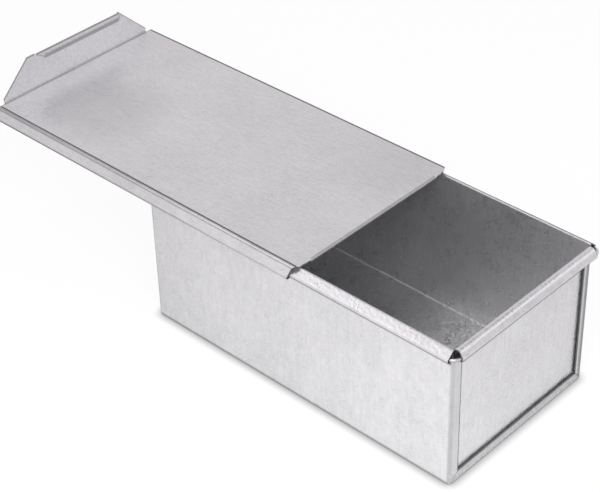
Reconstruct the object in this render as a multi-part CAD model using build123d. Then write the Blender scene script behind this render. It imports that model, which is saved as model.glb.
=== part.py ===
"""Pullman loaf pan with a sliding lid, folded from steel sheet. Lengths are in millimetres.

X runs along the pan, Y across it and Z up. The origin is the middle of the pan's underside.
The lid slides along X. It is modelled drawn back towards -X, with half of the pan uncovered.
"""
import os
from math import acos, atan2, cos, hypot, sin

from build123d import *

# Stock
sheet = 0.8                 # thickness of every sheet
wire_diameter = 2.4         # the steel wire rolled into the rims

# Pan, over the outside of its walls
pan_length = 244.0
pan_width = 129.5
pan_height = 102.0          # floor to the top of the rims
corner_bend = 3.0           # outer radius of the upright corners
floor_bend = 1.6            # outer radius along the edges of the floor

# Frames folded over the end walls
frame_width = 7.5           # of the strips beside and below an end wall
frame_recess = 1.7          # air between a strip and the end wall behind it
mitre_gap = 0.3             # slit where two strips meet in a corner
seam_air = 0.1              # air round an end wall, inside the folded body
flange_setback = 0.3        # of an end wall's flange from the back of the strips

# Rims
wire_out = 3.1              # middle of the wire, outside the pan's walls
wire_drop = 5.0             # middle of the wire, below the top of the rims
wire_play = 0.1             # air between the wire and the sheet rolled round it
wire_corner = 5.0           # radius of the wire's corners, on its middle line
wire_butt = 0.5             # gap between the wire's two ends
side_rim_bend = 1.0         # outer radius over the long walls
end_rim_bend = 3.2          # outer radius over the end walls
rim_tuck = 0.3              # air between the tucked edge of a rim and its wall
side_rim_inset = 0.4        # a long rim stops short of the pan's end
end_rim_inset = 0.6         # an end rim stops short of the inner face of the long walls

# Lid
lid_overhang = 17.8         # the grip stands this far past the rear rim when the lid is closed
lid_side_air = 1.0          # between a channel's lower corner and the rim beside it
lid_lean = 2.05             # how far a channel's side leans out, from the panel to its lower corner
lid_bend = 1.4              # outer radius of its folds
lid_lip = 3.8               # reach of a channel's lip below the rim
lid_play = 0.3              # air between the lid and the rim, above and below
hem_air = 0.3               # inside the hem along the front edge
hem_depth = 6.0
hem_inset = 12.3            # the hem stops this far short of the panel's folds
nose_share = 0.48           # radius of the hem's nose, as a share of how far its two sheets are apart
lid_corner_back = 3.4       # the front corners are trimmed back by this much
lid_corner_shoulder = 1.2   # of it at the point where the trim turns
lid_corner_inset = 4.0      # of that point from the panel's fold
channel_slant = 3.7         # a channel's front end leans back by this much

# Grip, the back edge of the lid turned up
grip_height = 25.0          # above the lid
grip_inset = 5.3            # of its foot from the panel's folds
grip_lean = 23.0            # how far each of its sides leans in towards the top
grip_slope_start = 3.0      # height above the lid where its sides start to lean in
grip_fold = 1.8             # outer radius of the fold at its foot
grip_root = 12.0            # how much of the flat panel is drawn in one with the grip
grip_hem_depth = 5.2
grip_hem_air = 1.0          # inside its bend, from where it leans back to the grip
grip_hem_foot_air = 0.3     # under its lower edge
grip_hem_start = -34.5      # left end of the hem along the top
grip_hem_slant = 8.2        # it is cut slanting by this much down its depth
grip_hem_end = 40.0
back_notch = 1.2            # the panel's back edge stops this far short of the grip beside it

# Rest position of the lid
lid_drawn = 117.5           # how far it is drawn back from closed

cut = 10.0                  # how far cutting solids run past what they cut

wire_radius = wire_diameter / 2
roll_radius = wire_radius + wire_play + sheet       # outer radius of a rim round the wire
half_length = pan_length / 2
half_width = pan_width / 2
wire_height = pan_height - wire_drop
rim_bottom = wire_height - roll_radius
frame_top = rim_bottom - seam_air
end_wall_out = half_length - sheet - frame_recess   # outer face of an end wall
end_wall_in = end_wall_out - sheet
rim_end = half_length + wire_out + roll_radius      # outermost reach of an end rim
lid_under = pan_height + lid_play + sheet + hem_air
lid_top = lid_under + sheet
lid_middle = lid_under + sheet / 2
lid_front = rim_end - lid_drawn
lid_length = 2 * rim_end + lid_overhang
lid_back = lid_front - lid_length
lid_side = half_width + wire_out + roll_radius + lid_side_air + sheet / 2   # middle of the sheet, lowest
lid_fold = lid_side - lid_lean                      # middle of the sheet, where the panel folds down
hem_width = 2 * (lid_fold - hem_inset)
grip_foot = 2 * (lid_fold - grip_inset)
grip_top = grip_foot - 2 * grip_lean


def slab(x_from, x_to, y_from, y_to, z_from, z_to):
    """A box given by its faces."""
    box = Box(x_to - x_from, y_to - y_from, z_to - z_from, align=Align.MIN)
    return Pos(x_from, y_from, z_from) * box


def both(solid, plane):
    """A solid and its mirror image."""
    return solid + mirror(solid, about=plane)


def tub(air, height, floor_radius):
    """A closed block with the pan's outline drawn in by air, rounded at its corners and below."""
    block = slab(air - half_length, half_length - air, air - half_width, half_width - air, air, height)
    block = fillet(block.edges().filter_by(Axis.Z), corner_bend - air)
    if floor_radius > 0:
        block = fillet(block.faces().sort_by(Axis.Z)[0].edges(), floor_radius)
    return block


def rim_profile(wall, wall_out, start, bend):
    """Section of a rim: up the wall, over its bend, down to the wire, round it and back."""
    bend_radius = bend - sheet / 2
    roll = roll_radius - sheet / 2
    bend_at = (wall + bend_radius, pan_height - bend)
    wire_at = (wall_out + wire_out, wire_height)
    run = (wire_at[0] - bend_at[0], wire_at[1] - bend_at[1])
    facing = atan2(run[1], run[0]) + acos((bend_radius - roll) / hypot(*run))
    reach = cos(facing) * bend_at[0] + sin(facing) * bend_at[1] + bend_radius
    tuck = wire_height - roll
    path = FilletPolyline(
        (wall, start),
        (wall, (reach - cos(facing) * wall) / sin(facing)),
        ((reach - sin(facing) * tuck) / cos(facing), tuck),
        (wall + sheet / 2 + rim_tuck, tuck),
        radius=[bend_radius, roll],
    )
    return trace(path, sheet)


def side_rim():
    """The long wall's top and rim on the +Y side."""
    profile = rim_profile(half_width - sheet / 2, half_width, frame_top, side_rim_bend)
    return extrude(Plane.YZ * profile, amount=half_length - side_rim_inset, both=True)


def mitre_slits():
    """Slits from the lower corners of one end's window to the pan's lower corners."""
    inner = hypot(frame_width, frame_width) + sheet
    outer = hypot(floor_bend, floor_bend)
    slit = slab(end_wall_out, half_length + cut, -mitre_gap / 2, mitre_gap / 2, outer, inner)
    slit = Pos(0, -half_width, 0) * Rot(-45, 0, 0) * slit
    return both(slit, Plane.XZ)


def pan_body():
    """One folded sheet: the floor, the long walls with their rims and the frames of the ends."""
    body = tub(0, frame_top, floor_bend) - tub(sheet, frame_top + cut, floor_bend - sheet)
    window = half_width - frame_width
    body -= slab(-half_length - cut, half_length + cut, -window, window, frame_width, frame_top + cut)
    body -= both(mitre_slits(), Plane.YZ)
    return body + both(side_rim(), Plane.XZ)


def end_wall():
    """The end wall at +X, with the flange that the body's frame grips and its rim."""
    inside = tub(sheet + seam_air, frame_top, floor_bend - sheet - seam_air)
    hollow = tub(2 * sheet + seam_air, frame_top + cut, 0)
    plate = inside & slab(end_wall_in, end_wall_out, -half_width, half_width, 0, frame_top)
    flange_end = half_length - sheet - flange_setback
    flange = (inside - hollow) & slab(end_wall_in, flange_end, -half_width, half_width, 0, frame_top)
    profile = rim_profile(end_wall_in + sheet / 2, half_length, frame_top, end_rim_bend)
    rim = extrude(Plane.XZ * profile, amount=half_width - sheet - end_rim_inset, both=True)
    return plate + flange + rim


def rim_wire():
    """The wire that runs round inside all four rims and shows at the corners."""
    across = half_width + wire_out
    along = half_length + wire_out
    path = FilletPolyline(
        (-along, wire_butt / 2),
        (-along, across),
        (along, across),
        (along, -across),
        (-along, -across),
        (-along, -wire_butt / 2),
        radius=wire_corner,
    )
    wire = sweep(Plane(path @ 0, z_dir=path % 0) * Circle(wire_radius), path)
    return Pos(0, 0, wire_height) * wire


def grip_outline():
    """The grip seen along X, from below the lid to its top."""
    slope = lid_top + grip_slope_start
    top = lid_top + grip_height
    return Polyline(
        (-grip_foot / 2, lid_under - cut),
        (-grip_foot / 2, slope),
        (-grip_top / 2, top),
        (grip_top / 2, top),
        (grip_foot / 2, slope),
        (grip_foot / 2, lid_under - cut),
        close=True,
    )


def grip():
    """The back of the lid turned up, with its top edge hemmed over towards the front."""
    top = lid_top + grip_height
    middle = lid_back + sheet / 2
    hem_foot = top - grip_hem_depth
    path = FilletPolyline(
        (lid_back + grip_root, lid_middle),
        (middle, lid_middle),
        (middle, top - sheet / 2),
        (middle + sheet + grip_hem_air, top - sheet / 2),
        (middle + sheet + grip_hem_foot_air, hem_foot),
        radius=[grip_fold - sheet / 2, sheet, sheet],
    )
    folded = extrude(Plane.XZ * trace(path, sheet), amount=grip_foot / 2, both=True)
    outline = Plane.YZ * make_face(grip_outline())
    folded &= extrude(outline, amount=lid_length, both=True)
    front = lid_back + sheet
    past_left = Polyline(
        (-grip_foot, top),
        (grip_hem_start, top),
        (grip_hem_start + grip_hem_slant, hem_foot),
        (grip_hem_start + grip_hem_slant, hem_foot - sheet),
        (-grip_foot, hem_foot - sheet),
        close=True,
    )
    trim = Pos(front, 0, 0) * extrude(Plane.YZ * make_face(past_left), amount=cut)
    trim += slab(front, front + cut, grip_hem_end, grip_foot, hem_foot - sheet, top + cut)
    return folded - trim


def lid_channels():
    """Section of the lid: the flat panel, its sloping sides and the lips below the rims."""
    lip = rim_bottom - lid_play - sheet / 2
    lip_end = lid_side + sheet / 2 - lid_lip
    path = FilletPolyline(
        (-lip_end, lip),
        (-lid_side, lip),
        (-lid_fold, lid_middle),
        (lid_fold, lid_middle),
        (lid_side, lip),
        (lip_end, lip),
        radius=lid_bend - sheet / 2,
    )
    return trace(path, sheet)


def front_trim():
    """What is cut away at the lid's front corner on the +Y side."""
    back = lid_front - lid_corner_back
    outer = lid_side + cut
    corner = Polyline(
        (lid_front, hem_width / 2),
        (lid_front - lid_corner_shoulder, lid_fold - lid_corner_inset),
        (back, lid_fold),
        (back, outer),
        (lid_front + cut, outer),
        (lid_front + cut, hem_width / 2),
        close=True,
    )
    below = rim_bottom - cut
    plan = Pos(0, 0, below) * extrude(make_face(corner), amount=lid_top + cut - below)
    lean = Polyline(
        (back, lid_top),
        (back - channel_slant, rim_bottom - lid_play - sheet),
        (back - channel_slant, below),
        (lid_front + cut, below),
        (lid_front + cut, lid_top),
        close=True,
    )
    side = Pos(0, outer, 0) * extrude(Plane.XZ * make_face(lean), amount=outer - lid_fold)
    return plan + side


def front_hem():
    """The lid's front edge, folded under."""
    nose = lid_front - sheet / 2
    lower = lid_middle - sheet - hem_air
    path = FilletPolyline(
        (lid_front - hem_depth, lid_middle),
        (nose, lid_middle),
        (nose, lower),
        (lid_front - hem_depth, lower),
        radius=(lid_middle - lower) * nose_share,
    )
    return extrude(Plane.XZ * trace(path, sheet), amount=hem_width / 2, both=True)


def sliding_lid():
    """One folded sheet: the panel, the channels that hook under the rims, the hem and the grip."""
    panel_back = lid_back + back_notch
    panel = extrude(Plane.YZ * lid_channels(), amount=lid_front - panel_back)
    panel = Pos(panel_back, 0, 0) * panel
    hem_foot = lid_front - hem_depth
    panel -= slab(hem_foot, lid_front + cut, -hem_width / 2, hem_width / 2, lid_under - cut, lid_top + cut)
    root = lid_back + grip_root
    panel -= slab(panel_back - cut, root, -grip_foot / 2, grip_foot / 2, lid_under - cut, lid_top + cut)
    panel -= both(front_trim(), Plane.XZ)
    return panel + front_hem() + grip()


def main():
    parts = {
        "pan_body": pan_body(),
        "front_end_wall": end_wall(),
        "rear_end_wall": mirror(end_wall(), about=Plane.YZ),
        "rim_wire": rim_wire(),
        "sliding_lid": sliding_lid(),
    }
    os.makedirs("parts", exist_ok=True)
    for name, part in parts.items():
        export_step(part, os.path.join("parts", name + ".step"))
        print(name, len(part.solids()), "solid", round(part.volume), "mm3")


main()
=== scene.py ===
import math

import bmesh
import bpy
from bpy.props import FloatProperty, FloatVectorProperty, PointerProperty
from mathutils import Matrix, Quaternion, Vector, noise


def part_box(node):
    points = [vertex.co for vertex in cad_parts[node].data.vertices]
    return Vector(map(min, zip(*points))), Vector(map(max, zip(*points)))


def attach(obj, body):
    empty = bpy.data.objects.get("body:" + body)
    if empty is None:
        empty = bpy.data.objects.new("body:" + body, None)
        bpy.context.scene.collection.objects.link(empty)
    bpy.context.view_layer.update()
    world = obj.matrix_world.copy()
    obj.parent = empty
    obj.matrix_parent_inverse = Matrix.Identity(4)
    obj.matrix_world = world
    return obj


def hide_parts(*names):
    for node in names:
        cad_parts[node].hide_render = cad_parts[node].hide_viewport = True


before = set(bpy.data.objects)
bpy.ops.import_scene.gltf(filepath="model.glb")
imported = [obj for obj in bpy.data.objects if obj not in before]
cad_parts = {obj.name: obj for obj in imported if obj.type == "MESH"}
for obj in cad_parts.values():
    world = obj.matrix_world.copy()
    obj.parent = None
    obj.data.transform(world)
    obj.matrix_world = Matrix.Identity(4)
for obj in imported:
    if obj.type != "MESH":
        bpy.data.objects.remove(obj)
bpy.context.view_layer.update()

bl_info = {
    "name": "Loaf Pan",
    "version": (1, 0, 0),
    "blender": (4, 5, 0),
    "location": "View3D > Sidebar > Loaf Pan",
    "description": "A loaf pan folded from coated steel sheet, with rolled wire rims and a sliding lid",
    "category": "Object",
}

MM = 0.001
PHOTO_WIDTH = 600
SENSOR_WIDTH = 36
NEAR_NOUGHT = 0.001                 # keeps a division from failing
MERGE = 0.001 * MM                  # points closer than this are one
BEND_STEP = math.radians(9)         # a bend has a facet about every so many degrees
WIRE_SIDES = 20
DULLED_SHARE = 0.2                  # width of a dulled cut edge, of the sheet's thickness
DULLED_ANGLE = math.radians(50)     # sharper edges than this are dulled

UPRIGHT = (1, 1, 0.2)               # how the streaks are stretched
LENGTHWISE = (0.4, 1, 1)
BODY_BUCKLES = Vector((3.1, 0.4, 7.7))
END_BUCKLES = Vector((5.3, 2.2, 1.9))
LID_BUCKLES = Vector((8.2, 4.6, 0.3))

# Where painted shade darkens a sheet, or where it is rubbed or coarse, in millimetres past a place on it: the
# start and end of a change, or the start and end of a line and the width of its soft ends.
PAINTED_SHADE_AND_WEAR_SPANS = {
    "rims": (0, 1),
    "rim_start": (0, 0.3),
    "rim_roll": (0.9, 2.3),
    "rim_hollow": (-0.3, 0),
    "long_rim_foot": (-5.3, -4.1),
    "long_rim_back": (-0.3, 0.2),
    "long_rim_cut": (-0.35, -0.1),
    "end_rim_foot": (-8.9, -7.7),
    "end_rim_cut": (-0.4, -0.1),
    "end_rim_inside": (-0.4, 1),
    "bend": (-3.2, -1.2),
    "far_corner": (-6.5, -3.5),
    "outside": (-0.7, -0.3),
    "floor": (1, 3.2),
    "slit": (0.2, 0.6),
    "slit_face": (-1.2, -0.6),
    "slit_top": (-0.3, 0),
    "strip_face": (-0.8, -0.4),
    "strip_back": (-1.2, -0.8),
    "lower_strip": (-0.5, 0.5),
    "beside": (-0.5, 0.9, 0.5),
    "beside_foot": (-0.5, 0),
    "below": (-0.9, 0.5, 0.5),
    "below_end": (0, 0.5),
    "slot_face": (-0.1, 0.1),
    "slot_beside": (0.5, 1),
    "slot_below": (-1.2, -0.8),
    "rubbed": (-0.8, 0.2, 0.3),
    "rubbed_top": (1.3, 1.7),
    "coarse_start": (-10, 70),
    "coarse_side": (0.1, 0.3),
    "coarse_top": (2, 16),
    "panel": (-0.9, -0.5),
    "fold": (-0.4, 1, 0.3),
    "under_fold": (-1.3, -0.4, 0.3),
    "channel": (0.8, 1.2),
    "channel_cut": (-0.7, -0.3),
    "channel_top": (-1.8, -1.3),
    "channel_foot": (0.6, 2.2),
    "nose": (-1.9, -1.5),
    "nose_end": (-1, 0),
    "grip_foot": (-1.3, 0.6, 0.5),
    "grip_foot_top": (1, 2),
    "grip_top": (-1, -0.4),
    "grip_side": (0.2, 1),
    "grip_side_foot": (-1, 0),
    "hem_start": (-1, -0.4),
    "hem_end": (-0.3, 0.3),
    "hem_shadow": (-1.9, 2.6, 0.6),
    "hem_cut": (-0.6, 0.3, 0.2),
    "hem_cut_foot": (-0.5, 0),
    "slant_cut": (-1.2, 0.6, 0.6),
}

# Soft patches of painted shade on the lid, standing in for dimmer reflections, in millimetres: their place
# along and across it, and their reach.
PAINTED_SHADE_PATCHES = {
    "rear_patch": (-205, -26, 54),
    "front_patch": (-15, 52, 50),
}

# How dark each painted shade is. A channel's foot is as dark as its top times the last of its numbers, and a
# little more.
PAINTED_SHADE_DARKNESS = {
    "long_rim_shade": 0.7,
    "long_rim_back_shade": 0.75,
    "end_rim_shade": 0.85,
    "end_rim_cut_shade": 0.7,
    "end_rim_inside_shade": 0.5,
    "corner_shade": 0.35,
    "far_corner_shade": 0.6,
    "floor_shade": 0.6,
    "slit_shade": 0.45,
    "strip_shade": 0.15,
    "strip_edge_shade": 0.8,
    "fold_shade": 0.85,
    "under_fold_shade": 0.45,
    "channel_cut_shade": 0.9,
    "channel_top_shade": 0.12,
    "channel_top_rear_shade": 0.4,
    "channel_foot_shade": 0.2,
    "channel_foot_of_top": 1.3,
    "nose_shade": 0.35,
    "grip_foot_shade": 0.35,
    "grip_top_shade": 0.5,
    "grip_side_shade": 0.6,
    "hem_shadow_shade": 0.4,
    "hem_cut_shade": 0.5,
    "slant_cut_shade": 0.45,
    "rear_patch_shade": 0.12,
    "front_patch_shade": 0.09,
}

X =Vector((1, 0, 0))
Y = Vector((0, 1, 0))
Z = Vector((0, 0, 1))

body_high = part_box("pan_body")[1]
wall_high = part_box("front_end_wall")[1]
lid_low, lid_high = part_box("sliding_lid")


def length(name, description, default):
    """A size in millimetres, kept in metres."""
    return FloatProperty(name=name, description=description, default=default * MM, unit="LENGTH", precision=5)


def position(name, description, x, y, z):
    """A point in millimetres, kept in metres."""
    return FloatVectorProperty(
        name=name, description=description, default=(x * MM, y * MM, z * MM), unit="LENGTH", precision=5)


def share(name, description, default):
    """A plain number."""
    return FloatProperty(name=name, description=description, default=default, precision=3)


def heights(name, description, low, high):
    """Two heights on the sky, nought at the horizon and one overhead."""
    return FloatVectorProperty(name=name, description=description, default=(low, high), size=2)


def title(name):
    """The name of a setting in words."""
    return name.replace("_", " ").title()


def spans(values):
    """Settings of two or three lengths in millimetres, kept in metres."""
    return {
        name: FloatVectorProperty(
            name=title(name), description="Past a place on the sheet", default=[part * MM for part in value],
            size=len(value), unit="LENGTH", precision=5)
        for name, value in values.items()
    }


def shades(values):
    """Settings of a plain number."""
    return {name: share(title(name), "How dark it is", value) for name, value in values.items()}


def colour(name, description, default):
    """A linear colour."""
    return FloatVectorProperty(name=name, description=description, default=default, subtype="COLOR")


def angle(name, description, degrees):
    """An angle given in degrees, kept in radians."""
    return FloatProperty(name=name, description=description, default=math.radians(degrees), subtype="ANGLE")


class PanSettings(bpy.types.PropertyGroup):
    """Sizes of the pan that its outside doesn't give."""

    sheet: length("Sheet", "Thickness of every sheet", 0.8)
    wire: length("Wire", "Diameter of the wire in the rims", 2.4)
    wire_play: length("Wire Play", "Air between the wire and the sheet round it", 0.1)
    wire_out: length("Wire Out", "Middle of the wire, outside the pan's walls", 3.1)
    wire_drop: length("Wire Drop", "Middle of the wire, below the top of the rims", 5.0)
    wire_corner: length("Wire Corner", "Radius of the wire's corners, on its middle line", 5.0)
    wire_butt: length("Wire Butt", "Gap between the wire's two ends", 0.5)
    corner_bend: length("Corner Bend", "Outer radius of the upright corners", 3.0)
    floor_bend: length("Floor Bend", "Outer radius along the edges of the floor", 1.6)
    frame_width: length("Frame Width", "Width of the strips beside and below an end wall", 7.5)
    frame_recess: length("Frame Recess", "Air between a strip and the end wall behind it", 0.7)
    mitre_gap: length("Mitre Gap", "Slit where two strips meet in a corner", 0.3)
    seam_air: length("Seam Air", "Air round an end wall, inside the folded body", 0.1)
    flange_setback: length("Flange Setback", "Of an end wall's flange from the back of the strips", 0.3)
    flange_bend: length("Flange Bend", "Radius from an end wall into its flange, on the sheet's middle", 0.7)
    side_rim_bend: length("Side Rim Bend", "Outer radius over the long walls", 1.0)
    end_rim_bend: length("End Rim Bend", "Outer radius over the end walls", 3.2)
    rim_tuck: length("Rim Tuck", "Air between the tucked edge of a rim and its wall", 0.3)
    near_rim_end: length("Near Rim End", "How far the near long rim's front end passes the pan's end", 0)
    far_rim_end: length("Far Rim End", "How far the far long rim's front end passes the pan's end", -1.7)
    rear_rim_end: length("Rear Rim End", "How far the long rims' rear ends pass the pan's end", -0.4)
    end_rim_inset: length("End Rim Inset", "An end rim stops this far inside the near long wall", 0.6)
    end_rim_far_inset: length("End Rim Far Inset", "An end rim stops this far inside the far long wall", 1.9)
    buckle: length("Buckle", "How far the flat walls swell in and out", 0.25)
    buckle_size: length("Buckle Size", "Width of the swellings", 55)
    mesh_step: length("Mesh Step", "Width of the facets along the flat walls", 5)


class LidSettings(bpy.types.PropertyGroup):
    """Sizes of the lid that its outside doesn't give."""

    play: length("Play", "Air between the lid and the rims, above and below", 0.3)
    side_air: length("Side Air", "Between a channel's lower corner and the rim beside it", 1.0)
    lean: length("Lean", "How far a channel's side leans out", 2.05)
    fold: length("Fold", "Radius from the panel into its sides, on the sheet's middle", 1.7)
    channel_bend: length("Channel Bend", "Radius at a channel's lower corner, on the sheet's middle", 1.0)
    lip: length("Lip", "Reach of a channel's lip below the rim", 3.8)
    channel_slant: length("Channel Slant", "A channel's front end leans back by this much", 3.7)
    corner_back: length("Corner Back", "The front corners are trimmed back by this much", 3.4)
    corner_shoulder: length("Corner Shoulder", "Of it at the point where the trim turns", 1.2)
    corner_inset: length("Corner Inset", "Of that point from the panel's fold", 4.0)
    hem_air: length("Hem Air", "Inside the hem along the front edge", 0.3)
    hem_depth: length("Hem Depth", "Of the hem along the front edge", 6.0)
    hem_inset: length("Hem Inset", "The hem stops this far short of the panel's folds", 12.3)
    grip_inset: length("Grip Inset", "Of the grip's foot from the panel's folds", 5.3)
    grip_lean: length("Grip Lean", "How far each of its sides leans in towards the top", 23)
    grip_slope_start: length("Grip Slope Start", "Height above the lid where its sides start to lean in", 3)
    grip_fold: length("Grip Fold", "Radius of the fold at its foot, on the sheet's middle", 1.4)
    grip_hem_bend: length("Grip Hem Bend", "Radius of the bend along its top, on the sheet's middle", 0.9)
    grip_hem_depth: length("Grip Hem Depth", "Of the hem along its top", 5.2)
    grip_hem_foot_air: length("Grip Hem Foot Air", "Under the hem's lower edge", 0.3)
    grip_hem_start: length("Grip Hem Start", "Left end of the hem", -34.5)
    grip_hem_slant: length("Grip Hem Slant", "It is cut slanting by this much down its depth", 8.2)
    grip_hem_end: length("Grip Hem End", "Right end of the hem", 40)
    back_notch: length("Back Notch", "The panel's back edge stops this far short of the grip beside it", 1.2)
    buckle: length("Buckle", "How far the flat panel swells in and out", 0.3)
    buckle_size: length("Buckle Size", "Width of the swellings", 70)
    mesh_step: length("Mesh Step", "Width of the facets along the panel", 5)


class FinishSettings(bpy.types.PropertyGroup):
    """Colours of the coated steel, and the sizes and weights of its pattern."""

    pale: colour("Pale", "The coating where it is palest", (0.86, 0.865, 0.875))
    dull: colour("Dull", "The coating where it is dullest", (0.70, 0.705, 0.715))
    # The colour of the painted shade below the rims, in the slots, along the folds and edges and on the
    # wire's underside.
    painted_shade: colour("Grime", "The dirt in the seams", (0.05, 0.05, 0.055))
    wire: colour("Wire", "The bare wire", (0.78, 0.78, 0.79))
    cloud_size: length("Cloud Size", "Width of the soft clouds in the coating", 45)
    mottle_size: length("Mottle Size", "Width of the mottling", 8)
    streak_size: length("Streak Size", "Width of the streaks", 2.2)
    grain_size: length("Grain Size", "Width of the fine grain", 2.0)
    grain_height: length("Grain Height", "Height of the fine grain", 0.2)
    cloud_tone: share("Cloud Tone", "How much the clouds change the tone", 1.1)
    mottle_tone: share("Mottle Tone", "How much the mottling changes it", 0.8)
    grain_tone: share("Grain Tone", "How much the fine grain changes it", 0.6)
    streak_height: share("Streak Height", "Height of the streaks, of the grain's", 0.5)
    coarse_grain: share("Coarse Grain", "How much stronger the grain is where the steel is coarse", 2.0)
    metal: share("Metal", "How metallic the coating is", 0.85)
    rubbed_metal: share("Rubbed Metal", "How much less where it is rubbed", 0.3)
    coarse_metal: share("Coarse Metal", "How much less where it is coarse", 0.45)
    coarse_speckle: share("Coarse Speckle", "How much the grain changes that", 1.5)
    roughness: share("Roughness", "Of the coating and the wire", 0.3)
    mottle_roughness: share("Mottle Roughness", "How much the mottling changes it", 0.3)
    cloud_roughness: share("Cloud Roughness", "How much the clouds change it", 0.1)
    # Where the shade is painted, the coating is this much rougher as well.
    painted_shade_roughness: share("Grime Roughness", "How much dirt adds to it", 0.3)
    wire_roughness: share("Wire Roughness", "How much the wire's grain changes it", 0.2)
    wire_dulled: share("Wire Dulled", "Tone of the wire where it is dullest, of its colour", 0.8)
    # How dark the wire's lower half is painted, as shade.
    wire_underside_shade: share("Wire Grime", "How dirty the wire is on its underside", 0.8)


class PaintedShadeAndWearSettings(bpy.types.PropertyGroup):
    """Where painted shade darkens the sheets, where they are rubbed or coarse, and how much."""

    __annotations__ = {**spans(PAINTED_SHADE_AND_WEAR_SPANS), **spans(PAINTED_SHADE_PATCHES), **shades(PAINTED_SHADE_DARKNESS)}


class StudioSettings(bpy.types.PropertyGroup):
    """The camera, the lamps and the floor."""

    focal_pixels: share("Focal Length", "Focal length in pixels of the photo's width", 1743.6)
    azimuth: angle("Azimuth", "Camera's turn round the pan", 43.967)
    elevation: angle("Elevation", "Camera's height angle", 36.303)
    roll: angle("Roll", "Camera's roll", -1.690)
    distance: length("Distance", "From the camera to the point it looks at", 1098.28)
    aim: position("Aim", "Point that the camera looks at", -46.27, -8.47, 60.0)
    light_turn: angle("Light Turn", "Turn of the soft lights round the pan", 45)
    left_light: share("Left Light", "Strength of the soft light beyond the pan's near long side", 1.35)
    lid_light: share("Lid Light", "Strength of the soft light behind the lid", 0.76)
    end_light: share("End Light", "Strength of the soft light behind the open end", 1.12)
    front_light: share("Front Light", "Strength of the soft light from the camera's side", 0.55)
    horizon_light: share("Horizon Light", "Strength of the light from the horizon", 0.68)
    ring_light: share("Ring Light", "Strength of the light between the soft lights and the zenith", 0.3)
    zenith_light: share("Zenith Light", "Strength of the light from overhead", 1.0)
    horizon_edge: heights("Horizon Edge", "Where the horizon's light gives way", 0.1, 0.4)
    ring_edge: heights("Ring Edge", "Where the light below the zenith begins", 0.62, 0.8)
    zenith_edge: heights("Zenith Edge", "Where the light from overhead begins", 0.9, 0.97)
    floor_shine: share("Floor Shine", "Brightness of the floor's own white in reflections", 0.8)
    lamp_place: position("Lamp Place", "Middle of both lamps", 320, -370, 520)
    lamp_aim: position("Lamp Aim", "Point that both lamps face", 100, -100, 0)
    lamp_size: length("Lamp Size", "Width and height of both lamps", 350)
    lamp_power: FloatProperty(name="Lamp Power", description="Of the softbox", default=0.9, unit="POWER")
    fill_power: FloatProperty(
        name="Fill Power", description="Of the lamp that casts no highlights", default=2.2, unit="POWER")
    sky: colour("Sky", "Colour of the soft lights", (1.0, 0.955, 0.99))
    floor_colour: colour("Floor", "Colour of the floor", (0.8, 0.8, 0.8))
    floor_reach: length("Floor Reach", "From the floor's middle to its sides", 6000)
    floor_white: share("Floor White", "Brightness of the floor's own white", 1.04)
    floor_seen: share("Floor Seen", "How much of that white the camera sees", 0.87)
    floor_mirrored: share("Floor Mirrored", "How much of it the pan reflects", 0.1)
    shadow_reach: length("Shadow Reach", "How far the soft shadow at the pan's foot reaches", 6)


class PanPlan:
    """Places on the middle of the pan's sheet, from its box and its settings."""

    def __init__(self, pan):
        self.skin = pan.sheet / 2
        self.roll = pan.wire / 2 + pan.wire_play + self.skin
        self.end = body_high.x
        self.top = body_high.z
        self.wire_x = wall_high.x - self.skin - self.roll
        self.wire_y = body_high.y - self.skin - self.roll
        self.wire_z = self.top - pan.wire_drop
        self.side = self.wire_y - pan.wire_out
        self.rim_bottom = self.wire_z - self.roll - self.skin
        self.frame_top = self.rim_bottom - pan.seam_air
        self.wall_x = self.end - pan.sheet - pan.frame_recess - self.skin


class LidPlan:
    """Places on the middle of the lid's sheet, from its box, the pan and its settings."""

    def __init__(self, lid, pan, plan):
        self.skin = pan.sheet / 2
        self.front = lid_high.x
        self.back = lid_low.x
        self.panel = plan.top + lid.play + pan.sheet + lid.hem_air + self.skin
        self.lip = plan.rim_bottom - lid.play - self.skin
        self.side = body_high.y + lid.side_air + self.skin
        self.fold = self.side - lid.lean
        self.hem = self.fold - lid.hem_inset
        self.nose = (pan.sheet + lid.hem_air) / 2
        self.nose_start = self.front - self.skin - self.nose
        self.grip = self.fold - lid.grip_inset
        self.grip_top = lid_high.z
        self.grip_start = self.back + self.skin + lid.grip_fold
        self.slope_start = self.panel + self.skin + lid.grip_slope_start


def steps(start, end, step):
    """Evenly spaced places from start to end, about a step apart."""
    count = max(1, round(abs(end - start) / step))
    return [start + (end - start) * index / count for index in range(count + 1)]


def row_of_edges(shape, points):
    """Edges from point to point."""
    verts = [shape.verts.new(point) for point in points]
    return [shape.edges.new(pair) for pair in zip(verts, verts[1:])]


def open_edges(shape, test):
    """The open edges whose ends both pass a test."""
    return [edge for edge in shape.edges if edge.is_boundary and all(test(vert.co) for vert in edge.verts)]


def open_row(shape, x, reach):
    """The open edges at a place along the lid, within a reach of its middle."""
    return open_edges(shape, lambda place: abs(place.x - x) < MERGE and abs(place.y) < reach + MERGE)


def around(faces):
    """Faces with their edges and points, for an operator."""
    edges = {edge for face in faces for edge in face.edges}
    verts = {vert for face in faces for vert in face.verts}
    return list(faces) + list(edges) + list(verts)


def score(shape, faces, place, normal):
    """Divides faces along a plane and gives all of them."""
    made = bmesh.ops.bisect_plane(shape, geom=around(faces), dist=MERGE, plane_co=place, plane_no=normal)
    return [item for item in made["geom"] if isinstance(item, bmesh.types.BMFace)]


def score_rows(shape, axis, places):
    """Divides the whole mesh square to an axis at each place."""
    for place in places:
        score(shape, shape.faces[:], axis * place, axis)


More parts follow.
